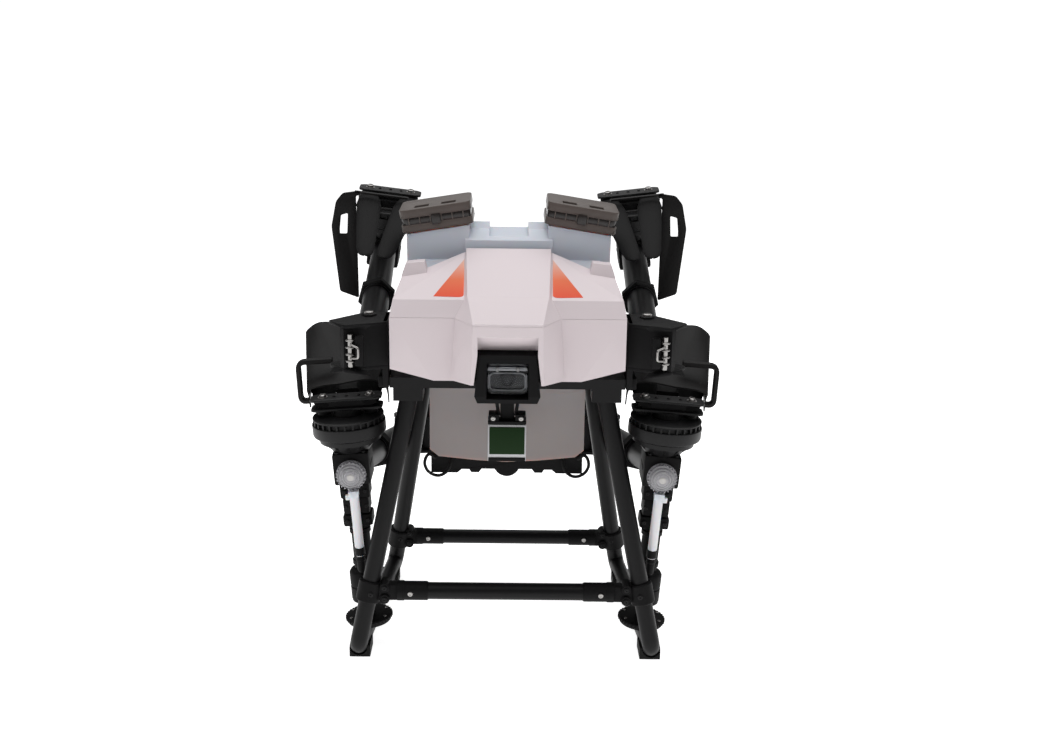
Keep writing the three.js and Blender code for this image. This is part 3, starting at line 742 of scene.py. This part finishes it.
def hose(piece):
    ends = [Vector((-2, -46, -36)), Vector((-1.5, -44, -60)), Vector((-1, -40, -100)), Vector((0, -34, -150)),
            Vector((0, -32, -167))]
    piece.tube(smooth_path(ends, 6), 8.4, HOSE, 20)
    piece.box(-10.5, 8, -54, -37, -48, -36.5, HOSE, 2.5)
    piece.box(5, 14, -49, -41, -54, -44, HOSE, 2)
    piece.tube([Vector((0, -33, -150)), Vector((0, -32, -166))], 9.4, PLASTIC, 20)


# ---------- blade holders ----------


def lower_holder(piece):
    """Bent-sheet boot that rises over the stowed blades, with a hand loop."""
    front, back = 40, 250

    def section(t):
        def mix(a, b):
            return a + (b - a) * t
        y = mix(front, back)
        inner, middle, outer = mix(-72, -50), mix(16, 78), mix(74, 100)
        low, high, eave = mix(141, 188), mix(141, 204), mix(132, 186)
        upper = [(inner, 97), (inner, low - 24), (inner + 5, low - 8), (inner + 22, low + 1),
                 ((inner + middle) / 2, (low + high) / 2 + 3), (middle - 16, high), (middle, high - 2),
                 ((middle + outer) / 2, (high + eave) / 2 + 1), (outer, eave), (outer, eave - 14),
                 (outer, 97)]
        curve = smooth_path([Vector((x, y, z)) for x, z in upper], 3)
        centre = (inner + outer) / 2
        lining = [Vector((centre + (p.x - centre) * 0.965, y, max(p.z - 2.6, 97))) for p in curve]
        return curve + lining[::-1]

    piece.loft([section(step / 7) for step in range(8)], SHEET)
    piece.plate(rounded([(-63, 130), (85, 130), (98, 249), (-48, 249)], 3), 97.2, 99.8, SHEET, bevel=0.5)
    piece.box(-14, 22, 46, 135, 97.2, 99.8, SHEET, 0.5)
    piece.box(-17, 24, 46, 49, 98, 126, SHEET, 0.5)
    path = rounded_path([Vector(p) for p in (
        (30, 82, 172), (93, 82, 172), (95, 82, 96), (80, 82, 98))], 13, 6)
    loops = []
    for i, point in enumerate(path):
        along = (path[min(i + 1, len(path) - 1)] - path[max(i - 1, 0)]).normalized()
        out = along.cross(Vector((0, 1, 0)))
        loops.append([point + out * u + Vector((0, v, 0)) for u, v in (
            (-4, -7), (-2, -8), (4, -7), (5, -5), (5, 5), (4, 7), (-2, 8), (-4, 7))])
    piece.loft(loops, SHEET)


def upper_holder(piece):
    """Bent-sheet guard that clasps the stowed upper blades, with a hand slot in its outer plate."""
    x, y = UPPER_MOTOR.x, UPPER_MOTOR.y
    outline = rounded([
        (x + 40, 778), (x + 40, 788), (x + 76, 783), (x + 90, 766), (x + 100, 715), (x + 85, 580),
        (x + 46, 566), (x + 49, 778)], 5)
    slot = rounded([(x + 66, 742), (x + 80, 738), (x + 84, 700), (x + 68, 700)], 3)
    piece.plate(outline, y - 90, y - 86.4, SHEET, "y", [slot], 0.6)
    for inner, outer in ((779, 787), (751, 760)):
        piece.hull(
            [(x + dx, y + dy, z) for dy in (-90, -75) for dx, z in (
                (-57, inner - 9), (-57, inner - 5), (52, outer - 4), (52, outer))], SHEET, 1.2)
    fold = [(x + 99, y - 89, 715), (x + 84, y - 89, 581), (x + 89, y - 89, 766)]
    piece.hull([(a, b + d, c) for a, b, c in fold for d in (0, 16)] + [
        (a - 3, b + d, c) for a, b, c in fold for d in (0, 16)], SHEET, 0.8)


# ---------- hinge sockets ----------


def front_socket(piece):
    """Hinge plates, web and toggle latch that hold an upper arm."""
    x, y, z = UPPER_HINGE
    plan = rounded([
        (204, -168), (x + 2, y + 27), (x + 18, y + 18), (x + 66, y - 38), (x + 36, y - 77), (204, -246)], 5)
    for low, high in ((z + 35, z + 42), (z - 40, z - 33)):
        piece.plate(plan, low, high, PLASTIC, bevel=1.5)
    for dz, sign in ((39, 1), (-37, -1)):
        tip = [(x + 56, y - 44, z + dz - 2), (x + 56, y - 44, z + dz + 2), (x + 40, y - 72, z + dz - 3),
               (x + 40, y - 72, z + dz + 3), (x + 48, y - 46, z + dz - 3),
               (x + 64, y - 62, z + dz + sign * 8),
               (x + 30, y - 60, z + dz + 3), (x + 30, y - 60, z + dz - 3)]
        piece.hull(tip, PLASTIC, 1.2)
        wing = [(x - 2, y - 80, z + dz - 3), (x - 2, y - 80, z + dz + 2), (x + 36, y - 77, z + dz - 3),
                (x + 36, y - 77, z + dz + 3), (x + 14, y - 60, z + dz), (x - 14, y - 88, z + dz + sign * 7)]
        piece.hull(wing, PLASTIC, 1.2)
    web = [(204, -246), (x + 36, y - 77), (x + 43, y - 68), (214, -229)]
    piece.plate(web, z - 34, z + 36, PLASTIC, bevel=1)
    piece.box(204, 214, -246, -168, 524, z + 42, PLASTIC, 2)
    piece.box(203.6, 222, -240, -180, 522, 542, PLASTIC, 2)
    for dz in (42, -46):
        piece.lathe([(0, 13), (3, 13), (4, 12)], ALLOY, (x, y, z + dz), sides=6)
    piece.lathe([(46, 8), (49, 8), (50, 6)], STEEL, (x, y, z), sides=20)
    normal = Vector((0.62, -0.78, 0)).normalized()
    side = Vector((0.78, 0.62, 0))
    centre = Vector((x + 24, y - 84, z))
    for dz in (-18, -6, 6, 18):
        piece.ring(centre + Vector((0, 0, dz)), 6.5, 1.6, STEEL)
    piece.tube([centre + Vector((0, 0, -28)), centre + Vector((0, 0, 28))], 4.2, STEEL, 16)
    lever = [centre + side * u + normal * 4 + Vector((0, 0, v)) for u, v in (
        (-4, -12), (-22, -9), (-22, 9), (-4, 12))]
    piece.tube(rounded_path(lever, 4, 4), 1.8, STEEL, 10)
    piece.box(x + 2, x + 16, y - 92, y - 76, z - 26, z + 26, PLASTIC, 3)


def rear_socket(piece):
    """Post under the frame and the hinge plates that hold a lower arm."""
    x, y, z = LOWER_HINGE
    post = 168
    piece.lathe([(z - 38, 11), (z - 36, 12), (511.6, 12)], PLASTIC, (post, y, 0), sides=28)
    for low in (z + 98, z + 60, z + 150):
        piece.lathe(
            [(low, 14), (low + 1, 15), (low + 9, 15), (low + 10, 14)], PLASTIC, (post, y, 0), sides=28)
    plan = rounded([
        (post - 16, y - 18), (x, y - 26), (x + 22, y - 14), (x + 26, y + 6), (x + 12, y + 30),
        (post - 16, y + 20)], 6)
    for low in (z + 36, z - 38):
        piece.plate(plan, low, low + 7, PLASTIC, bevel=1.5)
    for low in (43, -44):
        piece.lathe([(z + low, 12), (z + low + 5, 11)], ALLOY, (x, y, 0), sides=6)


# ---------- everything ----------


def assemble():
    cable_loops()
    pair("leg_frame", legs, ["landing_frame_{}"])
    single("front_bar", cross_bar(FRONT_LEG_TOP, FRONT_FOOT, 130, 206, 15.5), ["cross_bar_front"])
    single("rear_bar", cross_bar(REAR_LEG_TOP, REAR_FOOT, 78, 196, 14.5), ["cross_bar_rear"])
    hood()
    tank()
    single("camera_glass", camera_window, ["camera_window"])
    single("camera_inside", camera_inside)
    single("radar_unit", radar, ["radar_module"])
    single("radar_mount", radar_bracket, ["radar_bracket"])
    pair("front_hinge", front_socket, ["arm_socket_front_{}"])
    pair("rear_hinge", rear_socket, ["arm_socket_rear_{}"])
    pair("upper_boom", arm(UPPER_HINGE, UPPER_MOTOR, (-31, 33), [(236, 24, 36)], (200,)),
         ["arm_upper_{}"], "upper_arm_{}_body")
    pair("lower_boom", arm(LOWER_HINGE, LOWER_MOTOR, (-29, 34), [(250, 36, 36)], (60,)),
         ["arm_lower_{}"], "lower_arm_{}_body")
    for level, place in PLACES.items():
        fixed = f"{level}_arm_{{}}_body"
        turning = f"{level}_rotor_{{}}_body"
        pair(f"{level}_stator", motor_base, [f"motor_base_{level}_{{}}"], fixed, place)
        pair(f"{level}_bell", bell, [f"rotor_{level}_{{}}"], turning, place)
        for word, pivot, turn in zip(("inner", "outer"), (-BLADE_PIVOT, BLADE_PIVOT), STOWED_TURNS[level]):
            nodes = [f"blade_{level}_{word}_{{}}"]
            pair(f"{level}_{word}_prop", blade(pivot, turn), nodes, turning, place)
    lower = PLACES["lower"]
    pair("boot", lower_holder, ["blade_holder_lower_{}"], "lower_rotor_{}_body", lower)
    pair("guard", upper_holder, ["blade_holder_upper_{}"], "upper_rotor_{}_body")
    pair("nozzle_strut", strut, ["spray_strut_{}"], "lower_arm_{}_body", lower)
    pair("spinning_disc", disc, ["atomiser_disc_{}"], "atomiser_{}_body", lower)
    pair("clear_cap", cap, ["flow_sensor_{}"], "lower_arm_{}_body", lower)
    pair("cap_inside", cap_inside, (), "lower_arm_{}_body", lower)
    pair("feed_hose", hose, ["spray_hose_{}"], "lower_arm_{}_body", lower)
    for node, look, width in (
            ("main_frame", CARBON, 0.0015), ("camera_housing", PLASTIC, 0.002),
            ("flight_controller", PLASTIC, 0.003), ("pump_module", PLASTIC, 0.002),
            ("battery_tray", ALLOY, 0.0008), ("battery", PLASTIC, 0.004)):
        soften(node, look, width)
    for end in ("front", "rear"):
        for side in SIDES:
            soften(f"foot_pad_{end}_{side}", RUBBER, 0.003)


# ---------- studio ----------


FLOOR_REACH = 500.0
LAMPS = (  # name, place, target, width in metres, watts
    ("top", (0.0, 0.2, 3.4), (0, 0, 0.4), 5.0, 150),
    ("key", (-1.6, -2.6, 2.9), (0, 0, 0.45), 1.4, 5),
    ("rim", (0, 2.8, 2.2), (0, 0, 0.5), 2.0, 5))


def studio():
    mesh = bpy.data.meshes.new("floor")
    reach = FLOOR_REACH
    mesh.from_pydata(
        [(-reach, -reach, 0), (reach, -reach, 0), (reach, reach, 0), (-reach, reach, 0)], [], [(0, 1, 2, 3)])
    floor = bpy.data.objects.new("floor", mesh)
    bpy.context.collection.objects.link(floor)
    look = material("pale_floor", (0.9, 0.9, 0.9), 0.8, bump=0.0, Emission_Strength=0.93)
    look.node_tree.nodes["Principled BSDF"].inputs["Emission Color"].default_value = (1, 1, 1, 1)
    mesh.materials.append(look)
    world = bpy.data.worlds.new("studio")
    bpy.context.scene.world = world
    world.use_nodes = True
    world.node_tree.nodes["Background"].inputs["Color"].default_value = (1, 1, 1, 1)
    world.node_tree.nodes["Background"].inputs["Strength"].default_value = 0.13
    for name, spot, aim, size, power in LAMPS:
        lamp = bpy.data.lights.new(name, "AREA")
        lamp.size = size
        lamp.energy = power
        light = bpy.data.objects.new(name, lamp)
        bpy.context.collection.objects.link(light)
        light.location = spot
        light.rotation_euler = (Vector(aim) - Vector(spot)).to_track_quat("-Z", "Y").to_euler()
    bpy.context.scene.view_settings.view_transform = "Standard"


make_camera()
assemble()
studio()
